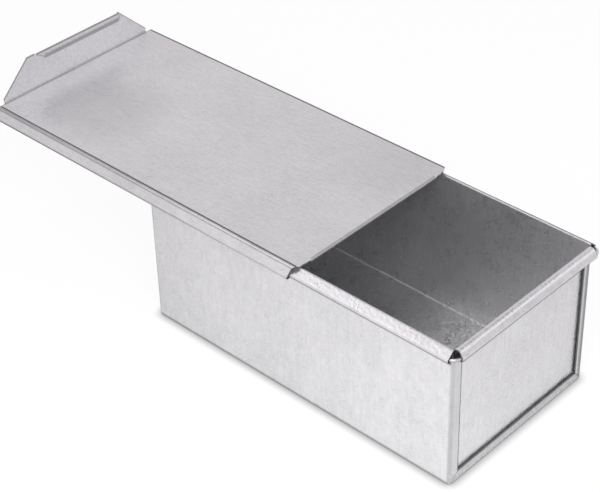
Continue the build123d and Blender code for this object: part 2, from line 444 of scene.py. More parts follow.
def trim(shape, faces, place, normal):
    """Cuts away the parts of faces that lie beyond a plane."""
    place = Vector(place)
    normal = Vector(normal)
    faces = score(shape, faces, place, normal)
    beyond = [face for face in faces if (face.calc_center_median() - place).dot(normal) > 0]
    bmesh.ops.delete(shape, geom=beyond, context="FACES")
    return [face for face in faces if face.is_valid]


def remove(shape, test):
    """Deletes the faces whose middles pass a test."""
    faces = [face for face in shape.faces if test(face.calc_center_median())]
    bmesh.ops.delete(shape, geom=faces, context="FACES")


class Fold:
    """Grows a sheet from a row of edges by flat runs and round bends, as a folding machine does."""

    def __init__(self, shape, row, at, heading, towards):
        self.shape = shape
        self.row = row
        self.at = Vector(at)
        self.heading = Vector(heading)
        self.axis = self.heading.cross(Vector(towards))

    def run(self, distance, count=1):
        """Goes straight on."""
        step = self.heading * (distance / count)
        for _ in range(count):
            made = bmesh.ops.extrude_edge_only(self.shape, edges=self.row)["geom"]
            verts = [item for item in made if isinstance(item, bmesh.types.BMVert)]
            bmesh.ops.translate(self.shape, verts=verts, vec=step)
            self.row = [item for item in made if isinstance(item, bmesh.types.BMEdge)]
            self.at += step

    def bend(self, turn, radius):
        """Goes round a bend. A turn above nought is towards the side that the fold was given."""
        centre = self.at + self.axis.cross(self.heading) * math.copysign(radius, turn)
        verts = list({vert for edge in self.row for vert in edge.verts})
        count = max(2, round(abs(turn) / BEND_STEP))
        made = bmesh.ops.spin(
            self.shape, geom=verts + self.row, cent=centre, axis=self.axis, angle=turn, steps=count)
        self.row = [item for item in made["geom_last"] if isinstance(item, bmesh.types.BMEdge)]
        swing = Matrix.Rotation(turn, 3, self.axis)
        self.at = centre + swing @ (self.at - centre)
        self.heading = swing @ self.heading


def roll_rim(fold, pan, plan, wall, wire, bend):
    """Takes a wall's top row up, over its bend, down to the wire and round it, and back to the wall."""
    radius = bend - plan.skin
    across = wire - wall - radius
    down = plan.top - bend - plan.wire_z
    apart = math.hypot(across, down)
    slope = math.atan2(down, across) - math.asin((plan.roll - radius) / apart)
    fold.run(plan.top - bend - fold.at.z)
    fold.bend(math.pi / 2 + slope, radius)
    fold.run(math.sqrt(apart ** 2 - (plan.roll - radius) ** 2), 2)
    fold.bend(math.pi - slope, plan.roll)
    fold.run(wire - wall - plan.skin - pan.rim_tuck)


def fade(value, low, high, reach):
    """Rises softly from nought at low to one a reach further in, and falls again to high."""
    inside = min(value - low, high - value) / reach
    inside = min(max(inside, 0.0), 1.0)
    return inside * inside * (3 - 2 * inside)


def swell(shape, amount, size, hold, seed):
    """Swells the sheet gently in and out, by as much as a function of the place lets it."""
    shape.normal_update()
    for vert in shape.verts:
        free = hold(vert.co)
        if free > 0:
            vert.co += vert.normal * (amount * free * noise.noise(vert.co / size + seed))


def new_piece(name, shape, material, body, node):
    """Makes an object from a bmesh, in the place of its CAD node."""
    mesh = bpy.data.meshes.new(name)
    shape.to_mesh(mesh)
    shape.free()
    for face in mesh.polygons:
        face.use_smooth = True
    mesh.materials.append(material)
    piece = bpy.data.objects.new(name, mesh)
    bpy.context.scene.collection.objects.link(piece)
    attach(piece, body)
    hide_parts(node)
    return piece


def folded_piece(name, shape, sheet, material, body, node):
    """Makes a piece from the middle of a folded sheet, with its thickness and its dulled cut edges."""
    bmesh.ops.remove_doubles(shape, verts=shape.verts, dist=MERGE)
    bmesh.ops.recalc_face_normals(shape, faces=shape.faces)
    piece = new_piece(name, shape, material, body, node)
    thick = piece.modifiers.new("thickness", "SOLIDIFY")
    thick.thickness = sheet
    thick.offset = 0
    thick.use_even_offset = True
    dulled = piece.modifiers.new("dulled_edges", "BEVEL")
    dulled.width = sheet * DULLED_SHARE
    dulled.segments = 2
    dulled.limit_method = "ANGLE"
    dulled.angle_limit = DULLED_ANGLE
    piece.modifiers.new("flat_faces", "WEIGHTED_NORMAL")
    return piece


def open_trough(shape, pan, plan):
    """The folded body below its rims: floor, long walls and the strips turned in over both ends."""
    high = plan.frame_top - plan.skin
    middle = Z * (plan.skin + high / 2)
    size = (2 * (plan.end - plan.skin), 2 * (plan.side - plan.skin), high)
    box = Matrix.Translation(middle) @ Matrix.Diagonal((*size, 1))
    bmesh.ops.create_cube(shape, size=1, matrix=box)
    remove(shape, lambda place: place.z > plan.frame_top - plan.skin)
    upright = [edge for edge in shape.edges if abs(edge.verts[0].co.z - edge.verts[1].co.z) > high / 2]
    round_edges(shape, upright, pan.corner_bend - plan.skin)
    floor = [edge for edge in shape.edges if all(vert.co.z < 2 * plan.skin for vert in edge.verts)]
    round_edges(shape, floor, pan.floor_bend - plan.skin)


def round_edges(shape, edges, radius):
    """Rounds edges where two flat sheets meet squarely."""
    count = max(2, round(math.pi / 2 / BEND_STEP))
    bmesh.ops.bevel(
        shape, geom=edges, offset=radius, affect="EDGES", segments=count, profile=0.5, material=-1)


def cut_window(shape, pan, plan):
    """Opens both ends of the trough and slits the mitres in the lower corners of their frames."""
    window = plan.side - pan.frame_width
    for side in (-window, window):
        score_rows(shape, Y, [side])
    score_rows(shape, Z, [pan.frame_width])
    face_x = plan.end - pan.sheet
    remove(shape, lambda place: abs(place.x) > face_x and abs(place.y) < window and place.z > pan.frame_width)
    for end in (-1, 1):
        for side in (-1, 1):
            slit_mitre(shape, pan, plan, end, side)


def slit_mitre(shape, pan, plan, end, side):
    """Slits one lower corner of a frame along its diagonal."""
    corner = Vector((0, side * plan.side, 0))
    across = Vector((0, side, 1)).normalized()
    reach = plan.end - pan.corner_bend / 2
    faces = [
        face for face in shape.faces
        if face.calc_center_median().x * end > reach
        and face.calc_center_median().y * side > plan.side - pan.frame_width
        and face.calc_center_median().z < pan.frame_width
    ]
    for half in (-pan.mitre_gap / 2, pan.mitre_gap / 2):
        faces = score(shape, faces, corner + across * half, across)
    slit = [
        face for face in faces
        if abs((face.calc_center_median() - corner).dot(across)) < pan.mitre_gap / 2
        and face.calc_center_median().z > pan.floor_bend
    ]
    bmesh.ops.delete(shape, geom=slit, context="FACES")


class LOAFPAN_OT_fold_body(bpy.types.Operator):
    """Folds the floor, the long walls and their rims from one sheet"""

    bl_idname = "loaf_pan.fold_body"
    bl_label = "Fold Body"

    def execute(self, context):
        pan = context.scene.loaf_pan_pan
        plan = PanPlan(pan)
        shape = bmesh.new()
        open_trough(shape, pan, plan)
        cut_window(shape, pan, plan)
        flat_end = plan.end - pan.corner_bend
        flat_side = plan.side - pan.corner_bend
        along = steps(-flat_end, flat_end, pan.mesh_step)
        score_rows(shape, X, along[1:-1])
        score_rows(shape, Y, steps(-flat_side, flat_side, pan.mesh_step)[1:-1])
        score_rows(shape, Z, steps(pan.floor_bend, plan.frame_top, pan.mesh_step)[1:-1])
        wall = plan.side - plan.skin
        for side in (-1, 1):
            front = plan.end + (pan.near_rim_end if side < 0 else pan.far_rim_end)
            places = [-plan.end - pan.rear_rim_end, *along, front]
            row = row_of_edges(shape, [(x, side * wall, plan.frame_top) for x in places])
            fold = Fold(shape, row, (0, side * wall, plan.frame_top), Z, Y * side)
            roll_rim(fold, pan, plan, wall, plan.wire_y, pan.side_rim_bend)
        bmesh.ops.remove_doubles(shape, verts=shape.verts, dist=MERGE)
        self.swell_walls(shape, pan, plan)
        steel = coated_steel("body_steel", UPRIGHT, body_painted_shade, body_wear)
        folded_piece("folded_body", shape, pan.sheet, steel, "pan", "pan_body")
        return {"FINISHED"}

    def swell_walls(self, shape, pan, plan):
        flat_end = plan.end - pan.corner_bend
        wall = plan.side - pan.sheet
        reach = pan.buckle_size / 2

        def free(place):
            if abs(place.y) < wall or place.z > plan.frame_top:
                return 0
            return fade(place.x, -flat_end, flat_end, reach) * fade(place.z, 0, plan.frame_top, reach)

        bmesh.ops.recalc_face_normals(shape, faces=shape.faces)
        swell(shape, pan.buckle, pan.buckle_size, free, BODY_BUCKLES)


class LOAFPAN_OT_fold_end_walls(bpy.types.Operator):
    """Folds the two end walls with their flanges and rims"""

    bl_idname = "loaf_pan.fold_end_walls"
    bl_label = "Fold End Walls"

    def execute(self, context):
        pan = context.scene.loaf_pan_pan
        for end, name in ((1, "front"), (-1, "rear")):
            shape = self.wall(pan, PanPlan(pan), end)
            steel = coated_steel(name + "_wall_steel", UPRIGHT, wall_painted_shade)
            folded_piece(name + "_wall", shape, pan.sheet, steel, "pan", name + "_end_wall")
        return {"FINISHED"}

    def wall(self, pan, plan, end):
        """One end wall: a shallow tray that lies on its side, and its rim."""
        shape = bmesh.new()
        gap = pan.sheet + pan.seam_air + plan.skin
        side = plan.side - gap
        flange = plan.end - pan.sheet - pan.flange_setback
        deep = flange - plan.wall_x
        high = plan.frame_top - gap
        middle = (plan.wall_x + deep / 2, 0, gap + high / 2)
        box = Matrix.Translation(middle) @ Matrix.Diagonal((deep, 2 * side, high, 1))
        bmesh.ops.create_cube(shape, size=1, matrix=box)
        remove(shape, lambda place: place.x > flange - MERGE or place.z > plan.frame_top - MERGE)
        lower = [edge for edge in shape.edges if abs(edge.verts[0].co.x - edge.verts[1].co.x) > deep / 2]
        lower = [edge for edge in lower if edge.verts[0].co.z < plan.frame_top / 2]
        round_edges(shape, lower, pan.corner_bend - gap)
        plate = [
            edge for edge in shape.edges
            if not edge.is_boundary and all(vert.co.x < plan.wall_x + MERGE for vert in edge.verts)
        ]
        round_edges(shape, plate, pan.flange_bend)
        flat = side - pan.flange_bend
        across = steps(-flat, flat, pan.mesh_step)
        rim_end = plan.side - pan.sheet
        far = rim_end - pan.end_rim_far_inset
        score_rows(shape, Y, [*across[1:-1], far])
        score_rows(shape, Z, steps(pan.floor_bend, plan.frame_top, pan.mesh_step)[1:-1])
        places = [pan.end_rim_inset - rim_end, *(y for y in across if y < far - MERGE), far]
        row = row_of_edges(shape, [(plan.wall_x, y, plan.frame_top) for y in places])
        fold = Fold(shape, row, (plan.wall_x, 0, plan.frame_top), Z, X)
        roll_rim(fold, pan, plan, plan.wall_x, plan.wire_x, pan.end_rim_bend)
        bmesh.ops.remove_doubles(shape, verts=shape.verts, dist=MERGE)
        bmesh.ops.recalc_face_normals(shape, faces=shape.faces)
        reach = pan.buckle_size / 2

        def free(place):
            if place.x > plan.wall_x + MERGE or place.z > plan.frame_top:
                return 0
            return fade(place.y, -flat, flat, reach) * fade(place.z, gap, plan.frame_top, reach)

        swell(shape, pan.buckle, pan.buckle_size, free, END_BUCKLES * Vector((end, 1, 1)))
        if end < 0:
            bmesh.ops.scale(shape, verts=shape.verts, vec=(-1, 1, 1))
        return shape


class LOAFPAN_OT_bend_wire(bpy.types.Operator):
    """Bends the wire that runs round inside the rims"""

    bl_idname = "loaf_pan.bend_wire"
    bl_label = "Bend Wire"

    def execute(self, context):
        pan = context.scene.loaf_pan_pan
        plan = PanPlan(pan)
        shape = bmesh.new()
        start = Vector((-plan.wire_x, pan.wire_butt / 2, plan.wire_z))
        stand = Matrix.Translation(start) @ Matrix.Rotation(math.pi / 2, 4, "X")
        bmesh.ops.create_circle(shape, segments=WIRE_SIDES, radius=pan.wire / 2, matrix=stand)
        fold = Fold(shape, shape.edges[:], start, Y, X)
        corner = pan.wire_corner
        half_end = plan.wire_y - corner - pan.wire_butt / 2
        side = 2 * (plan.wire_x - corner)
        end = 2 * (plan.wire_y - corner)
        for run in (half_end, side, end, side):
            fold.run(run)
            fold.bend(math.pi / 2, corner)
        fold.run(half_end)
        bmesh.ops.holes_fill(shape, edges=shape.edges, sides=0)
        bmesh.ops.recalc_face_normals(shape, faces=shape.faces)
        new_piece("bent_wire", shape, bare_wire("wire_steel"), "pan", "rim_wire")
        return {"FINISHED"}


class LOAFPAN_OT_fold_lid(bpy.types.Operator):
    """Folds the lid with its channels, its hem and its turned-up grip"""

    bl_idname = "loaf_pan.fold_lid"
    bl_label = "Fold Lid"

    def execute(self, context):
        scene = context.scene
        pan = scene.loaf_pan_pan
        lid = scene.loaf_pan_lid
        plan = LidPlan(lid, pan, PanPlan(pan))
        shape = bmesh.new()
        self.panel(shape, lid, plan)
        self.corners(shape, lid, plan)
        self.hem(shape, lid, plan)
        self.grip(shape, lid, plan)
        self.swell_panel(shape, lid, plan)
        steel = coated_steel("lid_steel", LENGTHWISE, lid_painted_shade)
        folded_piece("folded_lid", shape, pan.sheet, steel, "lid", "sliding_lid")
        return {"FINISHED"}

    def panel(self, shape, lid, plan):
        """The flat panel and the channels that hook under the rims."""
        back = plan.back + lid.back_notch
        places = [back, *steps(plan.grip_start, plan.nose_start, lid.mesh_step), plan.front]
        row = row_of_edges(shape, [(x, 0, plan.panel) for x in places])
        fold = Fold(shape, row, (0, 0, plan.panel), Y, -Z)
        upright = math.atan2(lid.lean, plan.panel - plan.lip)
        first = math.pi / 2 - upright
        second = math.pi / 2 + upright
        first_take = lid.fold * math.tan(first / 2)
        second_take = lid.channel_bend * math.tan(second / 2)
        fold.run(plan.hem, round(plan.hem / lid.mesh_step))
        fold.run(plan.grip - plan.hem, 2)
        fold.run(plan.fold - first_take - plan.grip)
        fold.bend(first, lid.fold)
        fold.run(math.hypot(lid.lean, plan.panel - plan.lip) - first_take - second_take, 3)
        fold.bend(second, lid.channel_bend)
        fold.run(lid.lip - plan.skin - second_take)
        everything = shape.verts[:] + shape.edges[:] + shape.faces[:]
        bmesh.ops.mirror(shape, geom=everything, merge_dist=MERGE, axis="Y")

    def corners(self, shape, lid, plan):
        """Trims the front corners and slants the front ends of the channels."""
        back = plan.front - lid.corner_back
        shoulder = Vector((plan.front - lid.corner_shoulder, plan.fold - lid.corner_inset, 0))
        first = Vector((plan.front, plan.hem, 0))
        last = Vector((back, plan.fold, 0))
        for side in (-1, 1):
            mirrored = Vector((1, side, 1))
            for start, end in ((first, shoulder), (shoulder, last)):
                normal = (end - start).cross(Z) * mirrored
                trim(shape, shape.faces[:], start * mirrored, normal)
            flange = [
                face for face in shape.faces
                if face.calc_center_median().y * side > plan.fold - plan.skin
            ]
            drop = plan.panel - plan.lip
            trim(shape, flange, (back, 0, plan.panel), (drop, 0, -lid.channel_slant))

    def hem(self, shape, lid, plan):
        """Folds the front edge under."""
        remove(shape, lambda place: place.x > plan.nose_start and abs(place.y) < plan.hem)
        row = open_row(shape, plan.nose_start, plan.hem)
        fold = Fold(shape, row, (plan.nose_start, 0, plan.panel), X, -Z)
        fold.bend(math.pi, plan.nose)
        fold.run(lid.hem_depth - plan.nose - plan.skin, 2)

    def grip(self, shape, lid, plan):
        """Turns the back edge up, cuts its sides slanting and hems its top."""
        start = plan.grip_start
        remove(shape, lambda place: place.x < start and abs(place.y) < plan.grip)
        row = open_row(shape, start, plan.grip)
        fold = Fold(shape, row, (start, 0, plan.panel), -X, Z)
        fold.bend(math.pi / 2, lid.grip_fold)
        fold.run(plan.slope_start - fold.at.z)
        hem_start = plan.grip_top - plan.skin - lid.grip_hem_bend
        fold.run(hem_start - fold.at.z, 5)
        fold.run(plan.grip_top - hem_start)
        plate = [face for face in shape.faces if face.calc_center_median().z > plan.slope_start]
        for side in (-1, 1):
            foot = (0, side * plan.grip, plan.slope_start)
            rise = plan.grip_top - plan.slope_start
            plate = trim(shape, plate, foot, (0, side * rise, lid.grip_lean))
        for place in (lid.grip_hem_start, lid.grip_hem_end):
            plate = score(shape, plate, Y * place, Y)
        remove(shape, lambda place: place.z > hem_start and lid.grip_hem_start < place.y < lid.grip_hem_end)
        row = open_edges(shape, lambda place: (
            abs(place.z - hem_start) < MERGE
            and lid.grip_hem_start - MERGE < place.y < lid.grip_hem_end + MERGE))
        fold = Fold(shape, row, (fold.at.x, 0, hem_start), Z, X)
        depth = lid.grip_hem_depth - plan.skin - lid.grip_hem_bend
        foot = 2 * plan.skin + lid.grip_hem_foot_air
        lean = math.atan2(2 * lid.grip_hem_bend - foot, depth)
        before = set(shape.faces)
        fold.bend(math.pi + lean, lid.grip_hem_bend)
        fold.run(depth, 3)
        flap = [face for face in shape.faces if face not in before]
        start = (0, lid.grip_hem_start, plan.grip_top)
        trim(shape, flap, start, (0, -lid.grip_hem_depth, -lid.grip_hem_slant))

    def swell_panel(self, shape, lid, plan):
        bmesh.ops.recalc_face_normals(shape, faces=shape.faces)
        reach = lid.buckle_size / 3

        def free(place):
            if abs(place.z - plan.panel) > MERGE:
                return 0
            along = fade(place.x, plan.grip_start, plan.front - lid.hem_depth, reach)
            return along * fade(place.y, -plan.grip, plan.grip, reach)

        swell(shape, lid.buckle, lid.buckle_size, free, LID_BUCKLES)


class Socket:
    """A value that changes over a surface, on which Python's arithmetic works."""

    def __init__(self, finish, socket):
        self.finish = finish
        self.socket = socket

    def maths(self, operation, *values):
        inputs = dict(enumerate(values or (self,)))
        return self.finish.node("ShaderNodeMath", {"operation": operation}, inputs)

    def __add__(self, other):
        return self.maths("ADD", self, other)

    def __sub__(self, other):
        return self.maths("SUBTRACT", self, other)

    def __mul__(self, other):
        return self.maths("MULTIPLY", self, other)

    def __truediv__(self, other):
        return self.maths("DIVIDE", self, other)

    def __rsub__(self, other):
        return self.maths("SUBTRACT", other, self)

    def __abs__(self):
        return self.maths("ABSOLUTE", self)

    __radd__ = __add__
    __rmul__ = __mul__

    def larger(self, other):
        """The larger of two values."""
        return self.maths("MAXIMUM", self, other)

    def root(self):
        """The square root."""
        return self.maths("SQRT")

    def lobe(self, sign):
        """The square of the value where it has a sign, and nought elsewhere."""
        kept = (self * sign).larger(0)
        return kept * kept


class Finish:
    """The nodes of one material or of the world."""

    def __init__(self, owner):
        owner.use_nodes = True
        self.tree = owner.node_tree
        self.tree.nodes.clear()

    def node(self, kind, settings=None, inputs=None, output=0):
        """Adds a node: its settings, then its inputs by name or number, and gives one of its outputs."""
        made = self.tree.nodes.new(kind)
        for name, value in (settings or {}).items():
            setattr(made, name, value)
        for name, value in (inputs or {}).items():
            if isinstance(value, Socket):
                self.tree.links.new(value.socket, made.inputs[name])
            else:
                made.inputs[name].default_value = value
        return Socket(self, made.outputs[output]) if made.outputs else None

    def axes(self, vector):
        """The three numbers of a vector."""
        return [self.node("ShaderNodeSeparateXYZ", {}, {"Vector": vector}, axis) for axis in "XYZ"]

    def ray(self, kind):
        """One for a kind of ray, and nought for the others."""
        return self.node("ShaderNodeLightPath", {}, {}, kind)

    def blotches(self, place, size, detail=2.0, stretch=(1, 1, 1)):
        """Noise from about minus a half to a half, with blotches of a size in metres."""
        place = self.node("ShaderNodeMapping", {}, {"Vector": place, "Scale": stretch})
        inputs = {"Vector": place, "Scale": 1 / size, "Detail": detail, "Roughness": 0.55}
        return self.node("ShaderNodeTexNoise", {}, inputs) - 0.5

    def smooth(self, value, low, high):
        """Rises smoothly from nought to one as a value goes from low to high."""
        inputs = {"Value": value, "From Min": low, "From Max": high}
        return self.node("ShaderNodeMapRange", {"interpolation_type": "SMOOTHSTEP"}, inputs)

    def past(self, value, place, span):
        """Rises smoothly from nought to one over a span past a place."""
        start, end = span
        return self.smooth(value, place + start, place + end)

    def before(self, value, place, span):
        """Falls smoothly from one to nought over a span past a place."""
        return 1 - self.past(value, place, span)

    def line(self, value, place, span):
        """One over a span past a place, and nought outside it, with soft ends inside."""
        start, end, blur = span
        return self.past(value, place, (start, start + blur)) * self.before(value, place, (end - blur, end))

    def mix(self, factor, first, second):
        """A colour between two."""
        first, second = (part if isinstance(part, Socket) else (*part, 1.0) for part in (first, second))
        inputs = {"Factor": factor, 6: first, 7: second}
        return self.node("ShaderNodeMix", {"data_type": "RGBA", "clamp_factor": True}, inputs, 2)


def darkest(first, *others):
    """The largest of several values."""
    for other in others:
        first = first.larger(other)
    return first


def under_rim(finish, out, z, start, foot, plan):
    """Painted shadow below a rim: on the wall, down to its foot, and on the lower part of the roll."""
    painted_shade_and_wear = bpy.context.scene.loaf_pan_dirt
    wall = finish.past(z, plan.rim_bottom, foot)
    roll = finish.before(z, plan.rim_bottom, painted_shade_and_wear.rim_roll)
    return finish.past(out, start, painted_shade_and_wear.rim_start) * wall * roll


def inside_roll(finish, out, z, wire, plan):
    """Painted shade on the inner face of a rim's roll, which shows at its open end."""
    across = out - wire
    up = z - plan.wire_z
    apart = (across * across + up * up).root()
    return finish.before(apart, plan.roll, bpy.context.scene.loaf_pan_dirt.rim_hollow)


def patch(finish, x, y, spot):
    """A soft round patch on a flat sheet, at its full strength over a fifth of its reach."""
    along = x - spot[0]
    across = y - spot[1]
    reach = spot[2]
    return 1 - finish.smooth((along * along + across * across).root(), reach / 5, reach)


def body_painted_shade(finish, x, y, z):
    """Where painted shade darkens the folded body: below its rims, on its bends and along the strips' edges.
    """
    pan = bpy.context.scene.loaf_pan_pan
    painted_shade_and_wear = bpy.context.scene.loaf_pan_dirt
    plan = PanPlan(pan)
    window = plan.side - pan.frame_width
    rims = finish.past(z, plan.frame_top, painted_shade_and_wear.rims)
    walls = 1 - rims
    back = finish.past(y, plan.side, painted_shade_and_wear.long_rim_back) * rims * painted_shade_and_wear.long_rim_back_shade
    near_end = finish.past(x, plan.end + pan.near_rim_end, painted_shade_and_wear.long_rim_cut) * rims
    far_corner = finish.past(x, plan.end, painted_shade_and_wear.bend) * finish.past(y, plan.side, painted_shade_and_wear.far_corner)
    x, y = abs(x), abs(y)
    hollow = inside_roll(finish, y, z, plan.wire_y, plan)
    rim = under_rim(finish, y, z, plan.side - plan.skin, painted_shade_and_wear.long_rim_foot, plan)
    corner = finish.past(x, plan.end, painted_shade_and_wear.bend) * finish.past(y, plan.side, painted_shade_and_wear.bend)
    slit = finish.before(abs(plan.side - y - z), 0, painted_shade_and_wear.slit) * finish.past(x, plan.end, painted_shade_and_wear.slit_face)
    slit = slit * finish.before(z, pan.frame_width, painted_shade_and_wear.slit_top)
    outside = finish.past(x, plan.end, painted_shade_and_wear.outside).larger(finish.past(y, plan.side, painted_shade_and_wear.outside))
    floor = finish.before(z, 0, painted_shade_and_wear.floor) * outside
    lower = finish.before(z, pan.frame_width, painted_shade_and_wear.lower_strip)
    strip = finish.past(x, plan.end, painted_shade_and_wear.strip_face) * (1 + lower)
    beside = finish.line(y, window, painted_shade_and_wear.beside) * finish.past(z, pan.frame_width, painted_shade_and_wear.beside_foot)
    below = finish.line(z, pan.frame_width, painted_shade_and_wear.below) * finish.before(y, window, painted_shade_and_wear.below_end)
    edge = (beside + below) * finish.past(x, plan.end, painted_shade_and_wear.strip_back)
    return darkest(
        back, near_end, hollow,
        rim * painted_shade_and_wear.long_rim_shade,
        slit * painted_shade_and_wear.slit_shade,
        floor * painted_shade_and_wear.floor_shade,
        corner * walls * painted_shade_and_wear.corner_shade,
        far_corner * walls * painted_shade_and_wear.far_corner_shade,
        strip * walls * painted_shade_and_wear.strip_shade,
        edge * walls * painted_shade_and_wear.strip_edge_shade)


def body_wear(finish, x, y, z):
    """Where the folded body is rubbed smooth, along the floor's inner edges, and where it is coarse."""
    painted_shade_and_wear = bpy.context.scene.loaf_pan_dirt
    plan = PanPlan(bpy.context.scene.loaf_pan_pan)
    side = abs(y)
    inner = plan.side - 2 * plan.skin
    rubbed = finish.line(side, inner, painted_shade_and_wear.rubbed) * finish.before(z, 0, painted_shade_and_wear.rubbed_top)
    coarse = finish.past(x, 0, painted_shade_and_wear.coarse_start) * finish.before(z, 0, painted_shade_and_wear.coarse_top)
    return rubbed, coarse * finish.before(side, inner, painted_shade_and_wear.coarse_side)


def wall_painted_shade(finish, x, y, z):
    """Where painted shade darkens an end wall: below its rim and in the slot beside and below its panel."""
    pan = bpy.context.scene.loaf_pan_pan
    painted_shade_and_wear = bpy.context.scene.loaf_pan_dirt
    plan = PanPlan(pan)
    rim_end = plan.side - pan.sheet
    near = finish.past(0 - y, rim_end - pan.end_rim_inset, painted_shade_and_wear.end_rim_cut)
    far = finish.past(y, rim_end - pan.end_rim_far_inset, painted_shade_and_wear.end_rim_cut)
    x, y = abs(x), abs(y)
    rims = finish.past(z, plan.frame_top, painted_shade_and_wear.rims)
    beside = finish.past(y, plan.side - pan.frame_width, painted_shade_and_wear.slot_beside)
    below = finish.before(z, pan.frame_width, painted_shade_and_wear.slot_below)
    slot = beside.larger(below) * finish.past(x, plan.wall_x, painted_shade_and_wear.slot_face)
    rim = under_rim(finish, x, z, plan.wall_x, painted_shade_and_wear.end_rim_foot, plan)
    inside = finish.before(x, plan.wall_x, painted_shade_and_wear.end_rim_inside)
    return darkest(
        inside_roll(finish, x, z, plan.wire_x, plan),
        rim * painted_shade_and_wear.end_rim_shade,
        slot * (1 - rims),
        inside * rims * painted_shade_and_wear.end_rim_inside_shade,
        near.larger(far) * rims * painted_shade_and_wear.end_rim_cut_shade)


def lid_painted_shade(finish, x, y, z):
    """Where painted shade darkens the lid: along its folds, at the lower edges of its sides and round its
    grip.
    """
    pan = bpy.context.scene.loaf_pan_pan
    lid = bpy.context.scene.loaf_pan_lid
    painted_shade_and_wear = bpy.context.scene.loaf_pan_dirt
    plan = LidPlan(lid, pan, PanPlan(pan))
    hem_foot = plan.grip_top - lid.grip_hem_depth
    hemmed = finish.past(y, lid.grip_hem_start + lid.grip_hem_slant, painted_shade_and_wear.hem_start)
    hemmed = hemmed * finish.before(y, lid.grip_hem_end, painted_shade_and_wear.hem_end)
    hem_cut = finish.line(y, lid.grip_hem_end, painted_shade_and_wear.hem_cut) * painted_shade_and_wear.hem_cut_shade
    slant = y - lid.grip_hem_start - (plan.grip_top - z) * (lid.grip_hem_slant / lid.grip_hem_depth)
    hem_cut = hem_cut.larger(finish.line(slant, 0, painted_shade_and_wear.slant_cut) * painted_shade_and_wear.slant_cut_shade)
    # Two soft patches of painted shade on the panel, standing in for dimmer reflections.
    rear_patch = patch(finish, x, y, painted_shade_and_wear.rear_patch)
    front_patch = patch(finish, x, y, painted_shade_and_wear.front_patch)
    rearward = 1 - finish.smooth(x, plan.back, plan.front)
    # Painted shade on a channel's top and foot, darker towards the back.
    channel_shade = painted_shade_and_wear.channel_top_shade + painted_shade_and_wear.channel_top_rear_shade * rearward
    y = abs(y)
    bend = plan.fold - lid.fold
    high = finish.past(z, plan.panel, painted_shade_and_wear.panel)
    fold = finish.line(y, bend, painted_shade_and_wear.fold) * high
    channel = finish.past(y, bend, painted_shade_and_wear.channel)
    slanted = plan.front - lid.corner_back - (plan.panel - z) * (lid.channel_slant / (plan.panel - plan.lip))
    cut = finish.past(x - slanted, 0, painted_shade_and_wear.channel_cut) * (1 - high)
    upper = finish.past(z, plan.panel, painted_shade_and_wear.channel_top)
    under = finish.line(z, plan.panel, painted_shade_and_wear.under_fold)
    lower = finish.before(z, plan.lip, painted_shade_and_wear.channel_foot)
    nose = finish.past(x, plan.front, painted_shade_and_wear.nose) * finish.before(y, plan.hem, painted_shade_and_wear.nose_end)
    foot = finish.line(x, plan.grip_start, painted_shade_and_wear.grip_foot) * finish.before(z, plan.panel, painted_shade_and_wear.grip_foot_top)
    top = finish.past(z, plan.grip_top, painted_shade_and_wear.grip_top)
    shadow = finish.line(z, hem_foot, painted_shade_and_wear.hem_shadow) * hemmed
    slope = plan.grip - y - (z - plan.slope_start) * (lid.grip_lean / (plan.grip_top - plan.slope_start))
    side = finish.before(slope, 0, painted_shade_and_wear.grip_side) * finish.past(z, plan.slope_start, painted_shade_and_wear.grip_side_foot)
    return darkest(
        fold * painted_shade_and_wear.fold_shade,
        cut * channel * painted_shade_and_wear.channel_cut_shade,
        upper * channel * channel_shade,
        under * channel * painted_shade_and_wear.under_fold_shade,
        lower * channel * (painted_shade_and_wear.channel_foot_shade + painted_shade_and_wear.channel_foot_of_top * channel_shade),
        nose * painted_shade_and_wear.nose_shade,
        foot * painted_shade_and_wear.grip_foot_shade,
        top * painted_shade_and_wear.grip_top_shade,
        side * painted_shade_and_wear.grip_side_shade,
        shadow * painted_shade_and_wear.hem_shadow_shade,
        hem_cut * finish.past(z, hem_foot, painted_shade_and_wear.hem_cut_foot),
        rear_patch * painted_shade_and_wear.rear_patch_shade,
        front_patch * painted_shade_and_wear.front_patch_shade)


def no_wear(finish, x, y, z):
    """Neither rubbed smooth nor coarse anywhere."""
    return 0, 0


def coated_steel(name, streaked, seams, wear=no_wear):
    """Pale satin coated steel: soft clouds, mottling, streaks one way, a fine grain and painted shade along
    its seams.
    """
    look = bpy.context.scene.loaf_pan_finish
    material = bpy.data.materials.new(name)
    finish = Finish(material)
    place = finish.node("ShaderNodeTexCoord", {}, {}, "Object")
    clouds = finish.blotches(place, look.cloud_size)
    mottle = finish.blotches(place, look.mottle_size, detail=4.0)
    streaks = finish.blotches(place, look.streak_size, stretch=streaked)
    grain = finish.blotches(place, look.grain_size, detail=1.0)
    axes = finish.axes(place)
    # Painted shade below the rims, in the slots, along the folds and edges, as a mask.
    painted_shade = seams(finish, *axes)
    rubbed, coarse = wear(finish, *axes)
    tone = 0.5 + clouds * look.cloud_tone + mottle * look.mottle_tone + streaks
    tone = tone + grain * (look.grain_tone + look.coarse_grain * coarse)
    height = grain * (1 + look.coarse_grain * coarse) + streaks * look.streak_height
    bump = finish.node(
        "ShaderNodeBump", {}, {"Height": height, "Strength": 1.0, "Distance": look.grain_height})
    coating = finish.mix(tone, look.dull, look.pale)
    dulled = look.rubbed_metal * rubbed + (look.coarse_metal + grain * look.coarse_speckle) * coarse
    uneven = mottle * look.mottle_roughness + clouds * look.cloud_roughness
    shader = finish.node("ShaderNodeBsdfPrincipled", {}, {
        "Base Color": finish.mix(painted_shade, coating, look.painted_shade),
        "Metallic": look.metal - dulled,
        "Roughness": look.roughness + uneven + painted_shade * look.painted_shade_roughness,
        "Normal": bump,
    })
    finish.node("ShaderNodeOutputMaterial", {}, {"Surface": shader})
    return material


